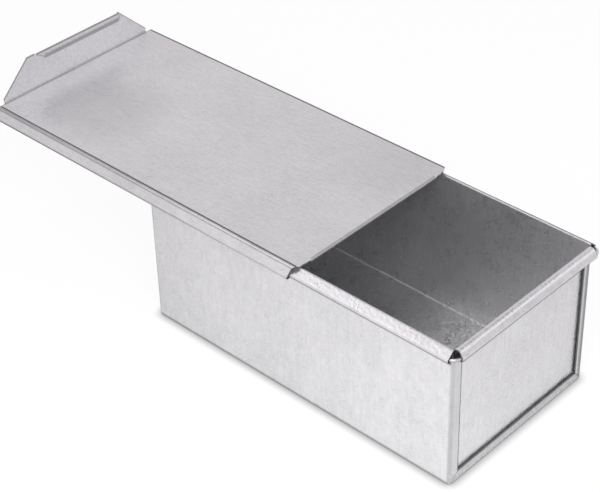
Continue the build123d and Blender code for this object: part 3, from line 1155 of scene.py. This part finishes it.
def bare_wire(name):
    """Drawn steel wire, smoother than the sheet."""
    look = bpy.context.scene.loaf_pan_finish
    material = bpy.data.materials.new(name)
    finish = Finish(material)
    place = finish.node("ShaderNodeTexCoord", {}, {}, "Object")
    grain = finish.blotches(place, look.grain_size)
    dulled = tuple(look.wire_dulled * part for part in look.wire)
    pan = bpy.context.scene.loaf_pan_pan
    height = finish.axes(place)[2]
    # Painted shade on the wire's lower half.
    under = finish.before(height, PanPlan(pan).wire_z, (-pan.wire / 2, pan.wire / 4)) * look.wire_underside_shade
    drawn = finish.mix(grain + 0.5, dulled, look.wire)
    shader = finish.node("ShaderNodeBsdfPrincipled", {}, {
        "Base Color": finish.mix(under, drawn, look.painted_shade),
        "Metallic": 1.0,
        "Roughness": look.roughness + grain * look.wire_roughness,
    })
    finish.node("ShaderNodeOutputMaterial", {}, {"Surface": shader})
    return material


def softbox(name, studio, power, highlights):
    """A square lamp that faces a point."""
    lamp = bpy.data.lights.new(name, "AREA")
    lamp.shape = "RECTANGLE"
    lamp.size = studio.lamp_size
    lamp.size_y = studio.lamp_size
    lamp.energy = power
    holder = bpy.data.objects.new(name, lamp)
    bpy.context.scene.collection.objects.link(holder)
    holder.location = studio.lamp_place
    holder.rotation_mode = "QUATERNION"
    holder.rotation_quaternion = (Vector(studio.lamp_aim) - holder.location).to_track_quat("-Z", "Y")
    holder.visible_camera = False
    holder.visible_glossy = highlights


class LOAFPAN_OT_light_studio(bpy.types.Operator):
    """Sets up the camera, the lamps and the pale floor"""

    bl_idname = "loaf_pan.light_studio"
    bl_label = "Light Studio"

    def execute(self, context):
        settings = context.scene.loaf_pan_studio
        self.camera(context, settings)
        self.floor(context, settings)
        self.world(context, settings)
        softbox("softbox", settings, settings.lamp_power, highlights=True)
        softbox("fill", settings, settings.fill_power, highlights=False)
        context.scene.view_settings.view_transform = "Standard"
        return {"FINISHED"}

    def camera(self, context, settings):
        lens = bpy.data.cameras.new("camera")
        lens.sensor_width = SENSOR_WIDTH
        lens.lens = settings.focal_pixels * SENSOR_WIDTH / PHOTO_WIDTH
        holder = bpy.data.objects.new("camera", lens)
        context.scene.collection.objects.link(holder)
        level = math.cos(settings.elevation)
        back = Vector((
            math.sin(settings.azimuth) * level,
            -math.cos(settings.azimuth) * level,
            math.sin(settings.elevation),
        ))
        holder.location = Vector(settings.aim) + back * settings.distance
        holder.rotation_mode = "QUATERNION"
        turn = Quaternion((0, 0, 1), settings.roll)
        holder.rotation_quaternion = (-back).to_track_quat("-Z", "Y") @ turn
        context.scene.camera = holder

    def floor(self, context, settings):
        mesh = bpy.data.meshes.new("floor")
        shape = bmesh.new()
        bmesh.ops.create_grid(shape, x_segments=1, y_segments=1, size=settings.floor_reach)
        shape.to_mesh(mesh)
        shape.free()
        floor = bpy.data.objects.new("floor", mesh)
        context.scene.collection.objects.link(floor)
        material = bpy.data.materials.new("floor")
        finish = Finish(material)
        matt = finish.node("ShaderNodeBsdfDiffuse", {}, {"Color": (*settings.floor_colour, 1.0)})
        seen = finish.ray("Is Camera Ray")
        glossy = finish.ray("Is Glossy Ray")
        open_sky = finish.node(
            "ShaderNodeAmbientOcclusion", {"samples": 16}, {"Distance": settings.shadow_reach}, "AO")
        strength = seen * open_sky * settings.floor_white + glossy * settings.floor_shine
        white = finish.node("ShaderNodeEmission", {}, {"Color": (1, 1, 1, 1), "Strength": strength})
        shown = seen * settings.floor_seen + glossy * settings.floor_mirrored
        mixed = finish.node("ShaderNodeMixShader", {}, {0: shown, 1: matt, 2: white})
        finish.node("ShaderNodeOutputMaterial", {}, {"Surface": mixed})
        mesh.materials.append(material)

    def world(self, context, settings):
        world = bpy.data.worlds.new("studio")
        context.scene.world = world
        finish = Finish(world)
        seen = finish.ray("Is Camera Ray")
        towards = finish.node("ShaderNodeTexCoord", {}, {}, "Generated")
        turn = (0, 0, settings.light_turn)
        right, away, height = finish.axes(
            finish.node("ShaderNodeMapping", {}, {"Vector": towards, "Rotation": turn}))
        level = right * right + away * away + NEAR_NOUGHT
        above = finish.past(height, 0, settings.horizon_edge)
        ring = finish.past(height, 0, settings.ring_edge)
        zenith = finish.past(height, 0, settings.zenith_edge)
        around = (
            right.lobe(1) * settings.front_light + right.lobe(-1) * settings.lid_light
            + away.lobe(1) * settings.end_light + away.lobe(-1) * settings.left_light)
        strength = (
            (1 - above) * settings.horizon_light + (above - ring) * around / level
            + (ring - zenith) * settings.ring_light + zenith * settings.zenith_light)
        lit = finish.node("ShaderNodeBackground", {}, {"Color": (*settings.sky, 1), "Strength": strength})
        white = finish.node("ShaderNodeBackground", {}, {"Color": (1, 1, 1, 1), "Strength": 1.0})
        mixed = finish.node("ShaderNodeMixShader", {}, {0: seen, 1: lit, 2: white})
        finish.node("ShaderNodeOutputWorld", {}, {"Surface": mixed})


class LOAFPAN_PT_workbench(bpy.types.Panel):
    """Lists the pan's pieces and the studio"""

    bl_idname = "LOAFPAN_PT_workbench"
    bl_label = "Loaf Pan"
    bl_space_type = "VIEW_3D"
    bl_region_type = "UI"
    bl_category = "Loaf Pan"

    def draw(self, context):
        for operator in OPERATORS:
            self.layout.operator(operator.bl_idname)
        for group in SETTINGS:
            settings = getattr(context.scene, group)
            box = self.layout.box()
            for name in settings.bl_rna.properties.keys():
                if name not in ("rna_type", "name"):
                    box.prop(settings, name)


OPERATORS = (
    LOAFPAN_OT_light_studio,
    LOAFPAN_OT_fold_body,
    LOAFPAN_OT_fold_end_walls,
    LOAFPAN_OT_bend_wire,
    LOAFPAN_OT_fold_lid,
)
SETTINGS = {
    "loaf_pan_pan": PanSettings,
    "loaf_pan_lid": LidSettings,
    "loaf_pan_finish": FinishSettings,
    # The settings of the painted shade and of the rubbed and coarse steel.
    "loaf_pan_dirt": PaintedShadeAndWearSettings,
    "loaf_pan_studio": StudioSettings,
}
CLASSES = (*SETTINGS.values(), *OPERATORS, LOAFPAN_PT_workbench)


def register():
    for made in CLASSES:
        bpy.utils.register_class(made)
    for name, group in SETTINGS.items():
        setattr(bpy.types.Scene, name, PointerProperty(type=group))


def unregister():
    for name in SETTINGS:
        delattr(bpy.types.Scene, name)
    for made in reversed(CLASSES):
        bpy.utils.unregister_class(made)


def main():
    register()
    bpy.ops.loaf_pan.light_studio()
    bpy.ops.loaf_pan.fold_body()
    bpy.ops.loaf_pan.fold_end_walls()
    bpy.ops.loaf_pan.bend_wire()
    bpy.ops.loaf_pan.fold_lid()


if __name__ == "__main__":
    main()
